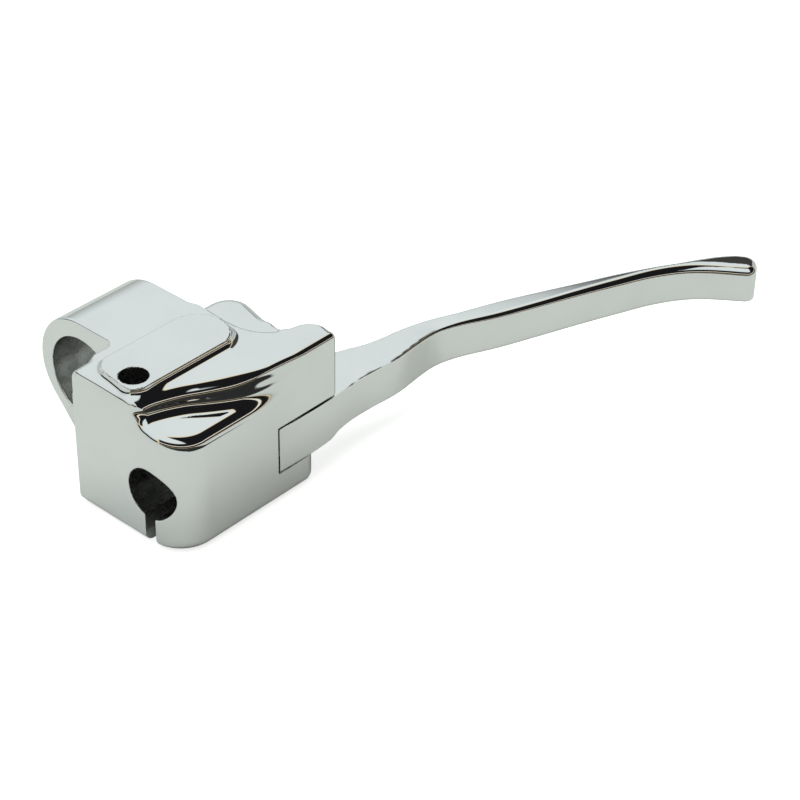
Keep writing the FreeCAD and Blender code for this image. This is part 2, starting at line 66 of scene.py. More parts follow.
Curve = tuple[Pair, ...]
Socket = bpy.types.NodeSocket


class Finish(Enum):
    """The finishes that the pieces of the lever wear."""

    POLISHED = "polished_billet"
    BORED = "bored_billet"
    GROUND = "ground_steel"
    PLATED = "plated_screw"
    BRONZE = "bearing_bronze"
    FLOOR = "studio_floor"


# ---- Blending of distances ----


def smooth_step(low: float, high: float, value: Array) -> Array:
    """Rises from 0 at low to 1 at high along a fifth-degree curve with no kink at either end.

    Args:
        low: where the rise begins.
        high: where it ends.
        value: the numbers to map.

    Returns:
        The mapped numbers, 10 t^3 - 15 t^4 + 6 t^5 of the clipped fraction t.
    """
    t = np.clip((value - low) / (high - low), 0.0, 1.0)
    return t * t * t * (10.0 + t * (6.0 * t - 15.0))


def carve(a: Array, b: Array, radius: float | Array) -> Array:
    """Intersection of two solids whose common edge is rounded off.

    Within the radius of both surfaces the distance is the length of (a + r, b + r) less r, a
    quarter circle; elsewhere it is the larger of the two.

    Args:
        a: distance to the first solid.
        b: distance to the second solid.
        radius: radius of the rounded edge, one value or one for each point.

    Returns:
        Distance to the common part.
    """
    r = np.maximum(radius, MOST_ACUTE_MM)
    corner = np.hypot(np.maximum(a + r, 0.0), np.maximum(b + r, 0.0))
    return np.minimum(np.maximum(a, b), -r) + corner


def join(a: Array, b: Array, radius: float | Array) -> Array:
    """Union of two solids with a concave fillet of the given radius where they meet."""
    return -carve(-a, -b, radius)


def slope_of(x: Array, knots: Curve) -> tuple[Array, Array]:
    """A curve y(x) through knots as a monotone-tangent cubic, with its slope.

    Each span is the Hermite cubic of its two ends; the tangent at a knot is the weighted mean of
    the slopes of the chords beside it.

    Args:
        x: the places to evaluate.
        knots: (x, y) pairs in rising x.

    Returns:
        The heights and the slopes at x.
    """
    kx, ky = np.array(knots).T
    chord = np.diff(ky) / np.diff(kx)
    span = np.diff(kx)
    inner = (chord[:-1] * span[1:] + chord[1:] * span[:-1]) / (span[:-1] + span[1:])
    tangent = np.concatenate([chord[:1], inner, chord[-1:]])
    i = np.clip(np.searchsorted(kx, x) - 1, 0, len(span) - 1)
    w = span[i]
    t = np.clip((x - kx[i]) / w, 0.0, 1.0)
    a = ky[i]
    b = ky[i + 1]
    ta = tangent[i] * w
    tb = tangent[i + 1] * w
    c2 = 3.0 * (b - a) - 2.0 * ta - tb
    c3 = 2.0 * (a - b) + ta + tb
    y = a + t * (ta + t * (c2 + t * c3))
    dy = (ta + t * (2.0 * c2 + 3.0 * t * c3)) / w
    before = np.minimum(x - kx[0], 0.0)
    beyond = np.maximum(x - kx[-1], 0.0)
    return y + before * tangent[0] + beyond * tangent[-1], dy


# ---- Level set to mesh ----


@dataclass
class LevelSet:
    """The surface of a signed distance, found by dual contouring on a grid.

    Every grid edge that crosses the surface gives a point and a normal. A cell's vertex is where
    the planes of its crossings meet, by least squares, so edges and corners stay sharp. Each
    crossing edge then joins the four cells round it with a quad.
    """

    shape: Field
    low: Triple
    high: Triple
    cell: float
    nudge: float = 0.004
    anchor_weight: float = 0.03
    bisections: int = 4
    end_guard: float = 0.05
    widest_move: float = 0.75
    widest_step: float = 0.2

    def value(self, p: Array) -> Array:
        """Distance at an array of points, one row each."""
        return self.shape(p[:, 0], p[:, 1], p[:, 2])

    def gradient(self, p: Array) -> Array:
        """Unit gradient at an array of points, by central differences.

        Args:
            p: the points.

        Returns:
            One unit vector for each.
        """
        columns = []
        for step in np.eye(3) * self.nudge:
            columns.append(self.value(p + step) - self.value(p - step))
        g = np.stack(columns, axis=1)
        return g / np.maximum(np.linalg.norm(g, axis=1, keepdims=True), 1e-12)

    def crossings(self, f: Array, axes: list[Array], axis: int) -> tuple[Array, Array, Array]:
        """Points where grid edges along one axis cross the surface.

        Args:
            f: distances on the grid.
            axes: the three coordinate arrays.
            axis: 0, 1 or 2 for edges along X, Y or Z.

        Returns:
            Grid indices of the edges' low ends, the crossing points, and True where the low end
            is inside.
        """
        inside = np.moveaxis(f < 0.0, axis, 0)
        hit = np.moveaxis(inside[:-1] != inside[1:], 0, axis)
        index = np.argwhere(hit)
        far = index.copy()
        far[:, axis] += 1
        low = np.stack([axes[k][index[:, k]] for k in range(3)], axis=1)
        high = np.stack([axes[k][far[:, k]] for k in range(3)], axis=1)
        f_low = f[tuple(index.T)]
        f_high = f[tuple(far.T)]
        starts_inside = f_low < 0.0
        for _ in range(self.bisections):
            t = np.clip(f_low / (f_low - f_high), self.end_guard, 1.0 - self.end_guard)[:, None]
            middle = low + t * (high - low)
            f_mid = self.value(middle)
            same = (f_mid < 0.0) == (f_low < 0.0)
            low = np.where(same[:, None], middle, low)
            f_low = np.where(same, f_mid, f_low)
            high = np.where(same[:, None], high, middle)
            f_high = np.where(same, f_high, f_mid)
        t = (f_low / (f_low - f_high))[:, None]
        return index, low + t * (high - low), starts_inside

    def surface(self) -> tuple[Array, Array]:
        """Finds the surface, one slab of the grid at a time.

        Returns:
            The vertices in millimetres, and quads of vertex numbers that face outwards.
        """
        axes = [np.arange(a, b + self.cell, self.cell) for a, b in zip(self.low, self.high)]
        size = [len(a) for a in axes]
        slabs = []
        for x in axes[0]:
            y, z = np.meshgrid(axes[1], axes[2], indexing="ij")
            slabs.append(self.value(np.stack([np.full(y.size, x), y.ravel(), z.ravel()], axis=1)))
        f = np.array(slabs).reshape(size)

        def cell_id(i: Array) -> Array:
            """Running number of the cell at each grid index."""
            return (i[:, 0] * size[1] + i[:, 1]) * size[2] + i[:, 2]

        rows, points, quads = [], [], []
        for axis in range(3):
            index, crossing, starts_inside = self.crossings(f, axes, axis)
            u, v = np.eye(3, dtype=int)[(axis + 1) % 3], np.eye(3, dtype=int)[(axis + 2) % 3]
            ring = [cell_id(index - a * u - b * v) for a, b in ((1, 1), (0, 1), (0, 0), (1, 0))]
            quad = np.stack(ring, axis=1)
            quads.append(np.where(starts_inside[:, None], quad, quad[:, ::-1]))
            rows.extend(ring)
            points.extend([crossing] * 4)
        cells, owner = np.unique(np.concatenate(rows), return_inverse=True)
        crossing = np.concatenate(points)
        vertices = self.meeting_points(crossing, owner, len(cells))
        faces = np.searchsorted(cells, np.concatenate(quads))
        return vertices, faces

    def meeting_points(self, crossing: Array, owner: Array, count: int) -> Array:
        """Least-squares meeting point of each cell's tangent planes.

        The matrix is the sum of n n^T plus a small weight, and the right side the sum of
        n (n . p) plus that weight times the mean crossing. One step along the gradient then puts
        the vertex on the surface.

        Args:
            crossing: crossing points.
            owner: the cell that each point counts for.
            count: number of cells.

        Returns:
            One vertex for each cell.
        """

        def gather(weights: Array) -> Array:
            """Sum of the weights over each cell's crossings."""
            return np.bincount(owner, weights=weights, minlength=count)

        normal = self.gradient(crossing)
        number = gather(np.ones(len(owner)))
        mean = np.stack([gather(crossing[:, k]) for k in range(3)], axis=1) / number[:, None]
        offset = crossing - mean[owner]
        reach = np.einsum("ij,ij->i", normal, offset)
        matrix = np.empty((count, 3, 3))
        side = np.empty((count, 3))
        for a in range(3):
            side[:, a] = gather(normal[:, a] * reach)
            for b in range(3):
                matrix[:, a, b] = gather(normal[:, a] * normal[:, b])
        matrix += np.eye(3) * (self.anchor_weight * number)[:, None, None]
        move = np.linalg.solve(matrix, side[:, :, None])[:, :, 0]
        limit = self.widest_move * self.cell
        vertices = mean + np.clip(move, -limit, limit)
        limit = self.widest_step * self.cell
        step = np.clip(self.value(vertices), -limit, limit)
        return vertices - self.gradient(vertices) * step[:, None]


def mesh_from_arrays(name: str, vertices: Array, faces: Array) -> Object:
    """A mesh object from vertices in millimetres and equal-sided faces.

    Args:
        name: the piece's name.
        vertices: one row for each vertex.
        faces: one row of vertex numbers for each face.

    Returns:
        The linked object, shaded smooth.
    """
    mesh = bpy.data.meshes.new(name)
    sides = faces.shape[1]
    mesh.vertices.add(len(vertices))
    mesh.vertices.foreach_set("co", (vertices * MM).astype(np.float32).ravel())
    mesh.loops.add(faces.size)
    mesh.loops.foreach_set("vertex_index", faces.astype(np.int32).ravel())
    mesh.polygons.add(len(faces))
    mesh.polygons.foreach_set("loop_start", np.arange(0, faces.size, sides, dtype=np.int32))
    mesh.update(calc_edges=True)
    mesh.validate()
    mesh.shade_smooth()
    piece = bpy.data.objects.new(name, mesh)
    bpy.context.scene.collection.objects.link(piece)
    return piece


def thin_flats(piece: Object, angle_deg: float) -> None:
    """Merges faces that turn less than an angle with a planar Decimate, and triangulates.

    Args:
        piece: the piece, given a new mesh.
        angle_deg: the smallest turn between faces that is kept.
    """
    modifier = piece.modifiers.new("thin_flats", "DECIMATE")
    modifier.decimate_type = "DISSOLVE"
    modifier.angle_limit = math.radians(angle_deg)
    graph = bpy.context.evaluated_depsgraph_get()
    mesh = bpy.data.meshes.new_from_object(piece.evaluated_get(graph))
    piece.modifiers.clear()
    piece.data = mesh
    cleaner = bmesh.new()
    cleaner.from_mesh(mesh)
    bmesh.ops.triangulate(cleaner, faces=cleaner.faces, quad_method="BEAUTY", ngon_method="BEAUTY")
    cleaner.to_mesh(mesh)
    cleaner.free()
    mesh.shade_smooth()


def rows_of(items: bpy.types.bpy_prop_collection, name: str) -> Array:
    """One vector attribute of every item of a mesh collection, one row each."""
    values = np.empty(len(items) * 3)
    items.foreach_get(name, values)
    return values.reshape(-1, 3)


def column_of(items: bpy.types.bpy_prop_collection, name: str) -> Array:
    """One whole-number attribute of every item of a mesh collection."""
    values = np.empty(len(items), dtype=np.int32)
    items.foreach_get(name, values)
    return values


SHARP_EDGE_DEG = 24.0
SIDEWAYS_MM = (-0.12, 0.12, -0.3, 0.3)
BETTER_BY = 0.02
LEANS_TOO_FAR = 0.6


def true_normals(piece: Object, level_set: LevelSet) -> None:
    """Gives every face corner the level set's own normal, kept apart across sharp edges.

    A corner takes the gradient at its vertex. Where that leans far from its face, the vertex is
    on a sharp edge, and the corner takes the gradient a little to the face's own side of it.

    Args:
        piece: the meshed level set.
        level_set: its distance.
    """
    mesh = piece.data
    points = rows_of(mesh.vertices, "co") / MM
    facing = rows_of(mesh.polygons, "normal")
    facing = np.repeat(facing, column_of(mesh.polygons, "loop_total"), axis=0)
    corner = column_of(mesh.loops, "vertex_index")
    normal = level_set.gradient(points)[corner]
    best = np.einsum("ij,ij->i", normal, facing)
    sharp = np.flatnonzero(best < math.cos(math.radians(SHARP_EDGE_DEG)))
    along = normal[sharp] - facing[sharp] * best[sharp, None]
    along /= np.maximum(np.linalg.norm(along, axis=1, keepdims=True), 1e-9)
    start = points[corner[sharp]]
    for shift in SIDEWAYS_MM:
        trial = level_set.gradient(start + along * shift)
        match = np.einsum("ij,ij->i", trial, facing[sharp])
        better = match > best[sharp] + BETTER_BY
        normal[sharp[better]] = trial[better]
        best[sharp[better]] = match[better]
    lost = best < LEANS_TOO_FAR
    normal[lost] = facing[lost]
    mesh.normals_split_custom_set(normal.tolist())


CUTTER_PROBE_MM = 0.05
CUTTER_REACH_MM = 0.14


def milled_faces(piece: Object, tools: Field) -> None:
    """Marks the faces that a cutter left, by the distance to the cutters, with the bored finish.

    Args:
        piece: the meshed level set.
        tools: distance to the cutters.
    """
    mesh = piece.data
    faces = mesh.polygons
    p = rows_of(faces, "center") / MM - rows_of(faces, "normal") * CUTTER_PROBE_MM
    touched = tools(p[:, 0], p[:, 1], p[:, 2]) < CUTTER_REACH_MM
    faces.foreach_set("material_index", touched.astype(np.int32))


def across(x: Array, y: Array, start: Pair, end: Pair) -> Array:
    """Distance to the right-hand side of a line from start to end in plan, below zero left of it."""
    run = np.subtract(end, start) / np.linalg.norm(np.subtract(end, start))
    return (x - start[0]) * run[1] - (y - start[1]) * run[0]


def slab(value: Array, low: float, high: float) -> Array:
    """Distance to the span from low to high along one coordinate."""
    return np.maximum(low - value, value - high)


# ---- Billet pieces ----


@dataclass(frozen=True)
class Bore:
    """A round hole: its radius, the coordinate where it ends and the radius of its rim."""

    radius: float
    end: float
    rim: float

    def below(self, from_axis: Array, along: Array) -> tuple[Array, float]:
        """The hole from below up to its end, with its rim."""
        return np.maximum(from_axis - self.radius, along - self.end), self.rim

    def above(self, from_axis: Array, along: Array) -> tuple[Array, float]:
        """The hole from above down to its end, with its rim."""
        return np.maximum(from_axis - self.radius, self.end - along), self.rim


@dataclass
class Billet:
    """A piece cut from bar stock: a level set, its cutters and the way it is dressed.

    Its methods take equal arrays of places along the bar (x), places across it (y) and heights
    (z), and return signed distances there, below zero inside.

    The grid starts an uneven number of cells outside the CAD node's box, to keep its planes off
    the flat faces.
    """

    node: str
    body: str
    slot: str
    cell: float
    margin_cells: float = 1.37
    level_deg: float = 0.3

    def outside(self, x: Array, y: Array, z: Array) -> Array:
        """Distance to the polished outer form, before anything is bored or slotted."""
        raise NotImplementedError

    def cutters(self, x: Array, y: Array, z: Array) -> list[tuple[Array, float]]:
        """Distances to the cutters, each with the radius of the rim it leaves."""
        raise NotImplementedError

    def shape(self, x: Array, y: Array, z: Array) -> Array:
        """Distance to the finished piece: the outer form less its cutters.

        Args:
            x, y, z: the places.

        Returns:
            The distance.
        """
        body = self.outside(x, y, z)
        for tool, rim in self.cutters(x, y, z):
            body = carve(body, -tool, rim)
        return body

    def tools(self, x: Array, y: Array, z: Array) -> Array:
        """Distance to the union of the cutters."""
        return np.minimum.reduce([tool for tool, _ in self.cutters(x, y, z)])

    def build(self, finishes: dict[Finish, Material]) -> Object:
        """Meshes the piece round its CAD node, dresses it and puts it on its body.

        Args:
            finishes: the materials by finish.

        Returns:
            The piece.
        """
        low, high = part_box(self.node)
        margin = self.margin_cells * self.cell
        level_set = LevelSet(
            self.shape,
            tuple(v / MM - margin for v in low),
            tuple(v / MM + margin for v in high),
            self.cell,
        )
        vertices, faces = level_set.surface()
        piece = mesh_from_arrays(self.node + "_billet", vertices, faces)
        thin_flats(piece, self.level_deg)
        true_normals(piece, level_set)
        piece.data.materials.append(finishes[Finish.POLISHED])
        piece.data.materials.append(finishes[Finish.BORED])
        milled_faces(piece, self.tools)
        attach(piece, self.body)
        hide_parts(self.node)
        LOG.info("%s: %d faces", piece.name, len(piece.data.polygons))
        return piece


@dataclass
class PerchBody(Billet):
    """The billet perch: a clamp ring, a block with a scooped pocket, and two ears for the lever."""

    node: str = "perch_body"
    body: str = "perch"
    slot: str = "polished_alloy"
    cell: float = 0.45

    left: float = -29.5
    front: float = -53.7
    back: float = -13.6
    lug_back: float = -15.5
    bottom: float = -26.2
    deck: float = 18.4
    front_corner: float = 11.0
    rear_left_corner: float = 0.5
    ear_right: float = 30.8
    ear_corner: float = 5.0
    ear_front_corner: float = 1.5
    lower_ear_right: float = 22.0
    lower_front_corner: float = 3.4
    notch: Pair = (21.4, -42.0)
    notch_fillet: float = 3.0
    ear_back: Pair = (30.8, -44.1)
    lug_corner: Pair = (29.4, -15.5)
    lug_radius: float = 9.5
    ring_half: float = 14.0
    ring_front: float = -25.0
    ring_fillet: float = 3.0
    ring_radius: float = 17.3
    ring_rise: float = 1.1
    slope_deg: float = 49.0
    boss_height: float = 20.4
    boss_foot: float = 2.2
    boss_edge: float = 0.35
    boss_seam: float = 1.0
    boss_left: tuple[Pair, Pair] = ((-28.9, -38.0), (-26.6, -20.0))
    boss_right: float = 11.8
    boss_backs: Triple = (-18.8, -19.1, -19.4)
    boss_fronts: Triple = (-37.2, -37.3, -37.5)
    boss_left_corners: Pair = (7.0, 5.2)
    boss_right_corners: Pair = (8.6, 8.8)
    lump_drop: float = 0.35
    lump_tilt: float = 0.045
    lump_tilt_y: float = -42.0
    lump_front: float = -41.9
    lump_step: Pair = (-0.5, 0.9)
    lump_edge: Curve = (
        (-46.0, 23.5), (-42.1, 19.7), (-38.6, 16.4), (-33.6, 14.4), (-29.8, 14.0), (-22.0, 14.6),
        (-10.0, 15.0),
    )
    left_drop: float = 0.5
    left_front_drop: float = 0.7
    left_drop_x: Pair = (-33.0, -23.0)
    left_drop_y: Pair = (-44.0, -20.0)
    shoulder_right: float = -17.2
    shoulder_fade: Pair = (-19.5, -17.2)
    shoulder_soft_x: Pair = (-25.0, -19.5)
    shoulder_radius: float = 3.6
    shoulder_z: Pair = (4.0, 11.0)
    shoulder_clear: Pair = (6.0, 8.0)
    scoop_floor: float = 12.4
    scoop_floor_y: float = -40.2
    scoop_tilt: float = 0.2
    scoop_brow: float = 3.8
    scoop_brow_loss: float = 1.4
    scoop_brow_x: Pair = (-6.0, 6.0)
    scoop_foot: float = 2.6
    scoop_lip: float = 3.0
    scoop_lip_z: Pair = (13.0, 15.5)
    scoop_wall: Curve = (
        (-34.0, -38.4), (-28.5, -39.2), (-24.0, -40.3), (-19.5, -41.8), (-15.6, -43.5),
        (-12.1, -45.5), (-3.0, -50.0), (2.2, -51.8), (5.5, -52.7), (9.0, -53.5), (13.0, -54.5),
        (20.0, -56.5),
    )
    deck_edge: float = 1.35
    front_edge_gain: float = 0.8
    left_edge_loss: float = 0.15
    ring_edge: float = 0.7
    lug_edge: float = 3.2
    base_edge: float = 3.0
    base_ring_loss: float = 2.4
    ring_edge_y: Pair = (-16.5, -11.5)
    front_edge_y: Pair = (-52.0, -48.0)
    left_edge_x: Pair = (-28.8, -25.5)
    lug_edge_x: Pair = (13.5, 16.5)
    lug_edge_y: Pair = (-38.0, -32.0)
    base_ring_y: Pair = (-12.5, -9.0)
    slot_mid: float = -9.3
    slot_half: float = 7.5
    slot_left: float = 7.6
    slot_back: float = 1.0
    slot_rim: float = 0.2
    pivot: Pair = (17.5, -23.5)
    swing_radius: float = 9.4
    head_recess: Bore = Bore(6.9, -21.8, 0.3)
    shoulder_bore: Bore = Bore(4.03, -1.8, 0.1)
    thread_bore: Bore = Bore(3.05, 8.2, 0.1)
    cable_y: float = -42.1
    ferrule_bore: Bore = Bore(7.77, -9.5, 0.3)
    wire_bore: Bore = Bore(2.0, 12.0, 0.1)
    wire_slit_half: float = 1.9
    wire_slit_rim: float = 0.15
    mirror: Pair = (-22.7, -31.2)
    mirror_bore: Bore = Bore(4.05, 2.4, 0.35)
    bar_radius: float = 12.75
    bar_rim: float = 0.5
    pinch_gap: Pair = (-4.6, -2.6)
    pinch_top: float = -6.0
    pinch_rim: float = 0.2
    screw: Pair = (8.0, -18.9)
    washer_seat: Bore = Bore(4.65, 0.5, 0.2)
    screw_clearance: Bore = Bore(2.75, -3.6, 0.1)
    screw_thread: Bore = Bore(2.55, -17.5, 0.1)

    def plan(self, x: Array, y: Array, upper: Array) -> Array:
        """Plan of the block with the clamp ring's sides.

        Half planes meet in rounded corners; the lug and the ear join in a filleted notch, and
        the ring's sides join the block's back in a filleted corner.

        Args:
            x: places along the bar.
            y: places across it.
            upper: True above the middle of the slot, where the ear is longer.

        Returns:
            Distance to the outline.
        """
        lug_side = across(x, y, self.notch, self.lug_corner)
        rear = y - np.where(x < 0.0, self.back, self.lug_back)
        ahead = self.front - y
        lug = carve(lug_side, rear, self.lug_radius)
        ear_side = across(x, y, self.ear_back, self.notch)
        ear = carve(x - self.ear_right, ear_side, self.ear_corner)
        long_plan = carve(join(lug, ear, self.notch_fillet), ahead, self.ear_front_corner)
        short_side = across(x, y, (self.lower_ear_right, self.front), self.lug_corner)
        short_plan = carve(carve(short_side, rear, self.lug_radius), ahead, self.lower_front_corner)
        right = np.where(upper, long_plan, short_plan)
        left = carve(carve(self.left - x, ahead, self.front_corner), rear, self.rear_left_corner)
        block = np.maximum(right, left)
        ring = np.maximum(np.abs(x) - self.ring_half, self.ring_front - y)
        return join(block, ring, self.ring_fillet)

    def island(self, x: Array, y: Array) -> Array:
        """Plan of the raised boss: a left half, a middle and a right half with rounded corners.

        Args:
            x, y: the places.

        Returns:
            The distance.
        """
        left = -across(x, y, *self.boss_left)
        right = x - self.boss_right
        back_left, back_middle, back_right = (y - place for place in self.boss_backs)
        front_left, front_middle, front_right = (place - y for place in self.boss_fronts)
        rear, fore = self.boss_left_corners
        left_half = carve(carve(left, back_left, rear), carve(left, front_left, fore), self.boss_seam)
        rear, fore = self.boss_right_corners
        right_half = carve(carve(right, back_right, rear), carve(right, front_right, fore), self.boss_seam)
        middle = carve(back_middle, front_middle, self.boss_seam)
        return np.maximum(np.maximum(left_half, right_half), middle)

    def top(self, x: Array, y: Array, z: Array) -> Array:
        """Height above the deck and its raised boss, joined by the boss's foot fillet.

        The deck drops a little over the lever's lug and towards the block's left side.

        Args:
            x, y, z: the places.

        Returns:
            The distance.
        """
        raised = carve(self.island(x, y), z - self.boss_height, self.boss_edge)
        edge, _ = slope_of(y, self.lump_edge)
        lump = np.minimum(x - edge, y - self.lump_front)
        tilted = self.lump_drop + self.lump_tilt * (y - self.lump_tilt_y)
        lowered = tilted * smooth_step(*self.lump_step, lump)
        forward = 1.0 - smooth_step(*self.left_drop_y, y)
        leftward = 1.0 - smooth_step(*self.left_drop_x, x)
        lowered = lowered + (self.left_drop + self.left_front_drop * forward) * leftward
        return join(z - self.deck + lowered, raised, self.boss_foot)

    def side(self, x: Array, y: Array, z: Array) -> Array:
        """Side view: deck and boss in front, the ring's round back, and the slope under it.

        Behind the bar the distance is that of the circle; below its tangent point it is that of
        the slope's plane. Left of the ring, the deck rounds over to the block's back.

        Args:
            x, y, z: the places.

        Returns:
            The distance.
        """
        slope = math.radians(self.slope_deg)
        rise = z - self.ring_rise
        plane = y * math.sin(slope) - rise * math.cos(slope) - self.ring_radius
        circle = np.hypot(y, rise) - self.ring_radius
        past = np.arctan2(rise, y) < slope - math.pi / 2
        behind = np.where(past, plane, circle)
        top = self.top(x, y, z)
        by_ring, below = self.shoulder_clear
        rear = y - self.back - by_ring * smooth_step(*self.shoulder_fade, x)
        rear = rear - below * (1.0 - smooth_step(*self.shoulder_z, z))
        soft = self.shoulder_radius * (1.0 - smooth_step(*self.shoulder_soft_x, x))
        top = np.where(x < self.shoulder_right, carve(top, rear, soft), top)
        return np.where(y < 0.0, np.maximum(top, plane), behind)

    def edge_radius(self, x: Array, y: Array, z: Array) -> Array:
        """Radius of the outer edges: soft on the block, large on the lug, crisp on the ring.

        Args:
            x, y, z: the places.

        Returns:
            The radius at each.
        """
        ring = smooth_step(*self.ring_edge_y, y)
        front = 1.0 - smooth_step(*self.front_edge_y, y)
        left = 1.0 - smooth_step(*self.left_edge_x, x)
        lug = smooth_step(*self.lug_edge_x, x) * smooth_step(*self.lug_edge_y, y) * (1.0 - ring)
        deck = self.deck_edge + self.front_edge_gain * front - self.left_edge_loss * left * (1.0 - front)
        upper = deck * (1.0 - ring) + self.ring_edge * ring
        upper = upper * (1.0 - lug) + self.lug_edge * lug
        base = self.base_edge - self.base_ring_loss * smooth_step(*self.base_ring_y, y)
        return np.where(z > self.slot_mid, upper, base)

    def outside(self, x: Array, y: Array, z: Array) -> Array:
        """Distance to the polished outer form with its scooped pocket.

        Args:
            x, y, z: the places.

        Returns:
            The distance.
        """
        plan = self.plan(x, y, z > self.slot_mid)
        profile = np.maximum(self.side(x, y, z), self.bottom - z)
        body = carve(plan, profile, self.edge_radius(x, y, z))
        wall, slope = slope_of(x, self.scoop_wall)
        before_wall = (y - wall) / np.hypot(1.0, slope)
        above_floor = self.scoop_floor + self.scoop_tilt * (y - self.scoop_floor_y) - z
        pocket = carve(before_wall, above_floor / math.hypot(1.0, self.scoop_tilt), self.scoop_foot)
        brow = self.scoop_brow - self.scoop_brow_loss * smooth_step(*self.scoop_brow_x, x)
        rim = self.scoop_lip + (brow - self.scoop_lip) * smooth_step(*self.scoop_lip_z, z)
        return carve(body, -pocket, rim)

    def cutters(self, x: Array, y: Array, z: Array) -> list[tuple[Array, float]]:
        """Distances to the bar bore, the pinch gap, the slots and every hole, with their rims.

        Args:
            x, y, z: the places.

        Returns:
            The distances, each with the radius of its rim.
        """
        px, py = self.pivot
        drop = z - self.slot_mid
        at_pivot = np.hypot(x - px, y - py)
        mouth = np.maximum(self.slot_left - x, y - py)
        rear = np.maximum(px - x, py - self.slot_back - y)
        swing = np.minimum(np.minimum(mouth, rear), at_pivot - self.swing_radius)
        at_cable = np.hypot(y - self.cable_y, drop)
        slit = slab(y, self.cable_y - self.wire_slit_half, self.cable_y + self.wire_slit_half)
        at_mirror = np.hypot(x - self.mirror[0], y - self.mirror[1])
        at_screw = np.hypot(np.abs(x) - self.screw[0], z - self.screw[1])
        return [
            (np.hypot(y, z) - self.bar_radius, self.bar_rim),
            (np.maximum(slab(y, *self.pinch_gap), z - self.pinch_top), self.pinch_rim),
            (np.maximum(swing, np.abs(drop) - self.slot_half), self.slot_rim),
            self.ferrule_bore.below(at_cable, x),
            self.wire_bore.below(at_cable, x),
            (np.maximum(np.maximum(slit, x - self.wire_bore.end), drop), self.wire_slit_rim),
            self.head_recess.below(at_pivot, z),
            self.shoulder_bore.below(at_pivot, z),
            self.thread_bore.below(at_pivot, z),
            self.mirror_bore.above(at_mirror, z),
            self.washer_seat.above(at_screw, y),
            self.screw_clearance.above(at_screw, y),
            self.screw_thread.above(at_screw, y),
        ]


